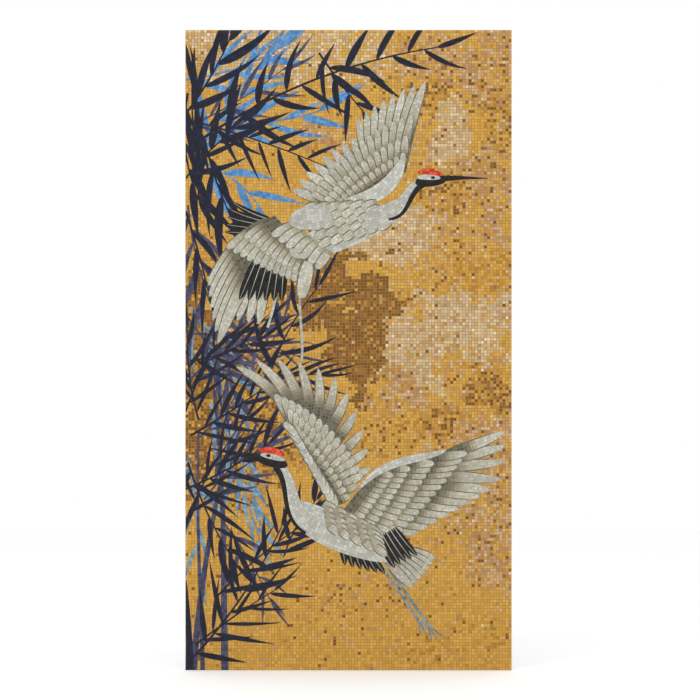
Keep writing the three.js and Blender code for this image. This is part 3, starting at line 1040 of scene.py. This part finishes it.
class MOSAIC_OT_grout(bpy.types.Operator):
    """Fill the joints with grout, struck off below the glass and tinted to suit each area"""
    bl_idname = "mosaic.grout"
    bl_label = "Grout"

    def execute(self, context):
        bpy.ops.object.select_all(action="DESELECT")
        bpy.ops.mesh.primitive_cube_add(size=1, location=(0, 0, 0))
        slab = context.object
        struck = FACE + GROUT_SUNK
        less = 2 * GROUT_INSET * MM
        slab.scale = (HIGH.x - LOW.x - less, BED_FRONT - struck, HIGH.z - LOW.z - less)
        slab.location = (0, (struck + BED_FRONT) / 2, (HIGH.z + LOW.z) / 2)
        bpy.ops.object.transform_apply(location=True, rotation=True, scale=True)
        bpy.ops.object.mode_set(mode="EDIT")
        bpy.ops.mesh.bevel(offset=0.5 * MM, segments=2, affect="EDGES")
        bpy.ops.object.mode_set(mode="OBJECT")
        slab.data.attributes.new(MARK, "INT", "FACE")
        # Tinted grout lies under the strokes, each run of one tint a little prouder than the last.
        made, collections, colours = [slab], [], [linear(context.scene.mosaic_colours.grout)]
        drawn_glass = [drawn for drawn in STROKES if drawn.glass != "outline"]
        for glass, run in groupby(drawn_glass, lambda drawn: drawn.glass):
            tint = len(made)
            first, *others = [
                prisms(f"tint_{tint}", [(tint, grout_outline(drawn))], FACE + BEYOND,
                       struck - tint * PROUDER) for drawn in run]
            collections.append(combined(first, "UNION", others))
            SCRATCH.extend(others)
            made.append(first)
            colours.append(linear(GROUT[glass]))
        joined = apply_cuts(made, collections)
        joined.name = joined.data.name = "joint_grout"
        paint(joined.data, "tint", colours, spread_marks(joined.data))
        clad(joined, cement("sanded_grout", None, 0.5, 0.9))
        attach(joined, "root")
        return {"FINISHED"}


class MOSAIC_OT_ground(bpy.types.Operator):
    """Lay the gold ground in three tall fields of square tesserae"""
    bl_idname = "mosaic.ground"
    bl_label = "Ground tesserae"

    def execute(self, context):
        sizes = context.scene.mosaic_sizes
        columns = round((RIGHT - LEFT) / sizes.pitch)
        for i, name in enumerate(("ground_left", "ground_middle", "ground_right")):
            span = range(columns * i // 3, columns * (i + 1) // 3)
            made = ground_piece(name, span, sizes, 10 + i)
            if i == 0:
                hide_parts("ground_tesserae")
        return {"FINISHED"}


class MOSAIC_OT_bamboo(bpy.types.Operator):
    """Lay the bamboo: light blue at the back, then slate, and navy in front"""
    bl_idname = "mosaic.bamboo"
    bl_label = "Bamboo tesserae"

    def execute(self, context):
        for i, name in enumerate(("blue_bamboo", "slate_bamboo", "navy_bamboo")):
            made = glass_piece(name, context.scene.mosaic_sizes, 20 + i)
            if name == "navy_bamboo":
                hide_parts(*nodes_named("bamboo"))
        return {"FINISHED"}


class MOSAIC_OT_cranes(bpy.types.Operator):
    """Lay both cranes, each in one piece for each colour of glass"""
    bl_idname = "mosaic.cranes"
    bl_label = "Crane tesserae"

    def execute(self, context):
        seed = 30
        for bird in ("upper_crane", "lower_crane"):
            for part, node_part, slot in (
                    ("white", "white", "white_glass"), ("black", "black", "black_glass"),
                    ("legs", "leg", "grey_glass"), ("crown", "crown", "red_glass")):
                made = glass_piece(f"{bird}_{part}", context.scene.mosaic_sizes, seed)
                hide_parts(*nodes_named(f"{bird}_{node_part}"))
                seed += 1
        return {"FINISHED"}


DISTANCE = 9.0  # from the camera to the panel's face, in metres
SEEN = 1.0932  # the height in view, in heights of the panel
ASIDE = 0.0056  # how far right of the middle the camera stands, in metres


class MOSAIC_OT_stage(bpy.types.Operator):
    """Set up the camera, the soft light and the pale floor"""
    bl_idname = "mosaic.stage"
    bl_label = "Stage"

    def execute(self, context):
        scene = context.scene
        scene.view_settings.view_transform = "Standard"
        camera = bpy.data.cameras.new("camera")
        camera.sensor_width = 36
        camera.lens = camera.sensor_width * DISTANCE / ((HIGH.z - LOW.z) * SEEN)
        holder = bpy.data.objects.new("camera", camera)
        scene.collection.objects.link(holder)
        holder.location = (ASIDE, FACE - DISTANCE, 0)
        holder.rotation_euler = (math.radians(90), 0, 0)
        scene.camera = holder
        world = bpy.data.worlds.new("studio")
        scene.world = world
        world.use_nodes = True
        background = world.node_tree.nodes["Background"]
        background.inputs["Color"].default_value = (1, 1, 1, 1)
        background.inputs["Strength"].default_value = 1.0
        for name, place, size, power in (
                ("soft_key", (-3.0, -3.5, 3.2), 3.0, 60), ("soft_top", (1.5, -1.0, 4.5), 3.0, 40)):
            lamp = bpy.data.lights.new(name, "AREA")
            lamp.shape, lamp.size, lamp.energy = "DISK", size, power
            holder = bpy.data.objects.new(name, lamp)
            scene.collection.objects.link(holder)
            holder.location = place
            holder.rotation_euler = (-Vector(place)).to_track_quat("-Z", "Y").to_euler()
        bpy.ops.object.select_all(action="DESELECT")
        bpy.ops.mesh.primitive_plane_add(size=14, location=(0, 0, LOW.z - 0.5 * MM))
        floor = context.object
        floor.name = "floor"
        made, _, surface = new_material("painted_floor")
        surface.inputs["Base Color"].default_value = linear(scene.mosaic_colours.floor)
        surface.inputs["Roughness"].default_value = 0.9
        surface.inputs["Specular IOR Level"].default_value = 0.1
        clad(floor, made)
        floor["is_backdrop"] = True
        return {"FINISHED"}


class MOSAIC_PT_panel(bpy.types.Panel):
    """Sizes, colours and steps of the mosaic"""
    bl_label = "Mosaic"
    bl_idname = "MOSAIC_PT_panel"
    bl_space_type = "VIEW_3D"
    bl_region_type = "UI"
    bl_category = "Mosaic"

    def draw(self, context):
        for group in (context.scene.mosaic_sizes, context.scene.mosaic_colours):
            for key in group.bl_rna.properties.keys():
                if key not in ("rna_type", "name"):
                    self.layout.prop(group, key)
        for step in STEPS:
            self.layout.operator(step.bl_idname)


STEPS = (MOSAIC_OT_stage, MOSAIC_OT_board, MOSAIC_OT_grout, MOSAIC_OT_ground, MOSAIC_OT_bamboo,
         MOSAIC_OT_cranes)
CLASSES = (MosaicSizes, MosaicColours, *STEPS, MOSAIC_PT_panel)


def register():
    for each in CLASSES:
        bpy.utils.register_class(each)
    bpy.types.Scene.mosaic_sizes = bpy.props.PointerProperty(type=MosaicSizes)
    bpy.types.Scene.mosaic_colours = bpy.props.PointerProperty(type=MosaicColours)


def unregister():
    del bpy.types.Scene.mosaic_sizes
    del bpy.types.Scene.mosaic_colours
    for each in reversed(CLASSES):
        bpy.utils.unregister_class(each)


def main():
    register()
    for step in STEPS:
        getattr(bpy.ops.mosaic, step.bl_idname.split(".")[1])()
    for block in SCRATCH:
        bpy.data.objects.remove(block)
    SCRATCH.clear()
    CUTTERS.clear()
    boxes = {"cad": CAD_BOX, "visual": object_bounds()}
    {key: [list(corner) for corner in box] for key, box in boxes.items()}


if __name__ == "__main__":
    main()
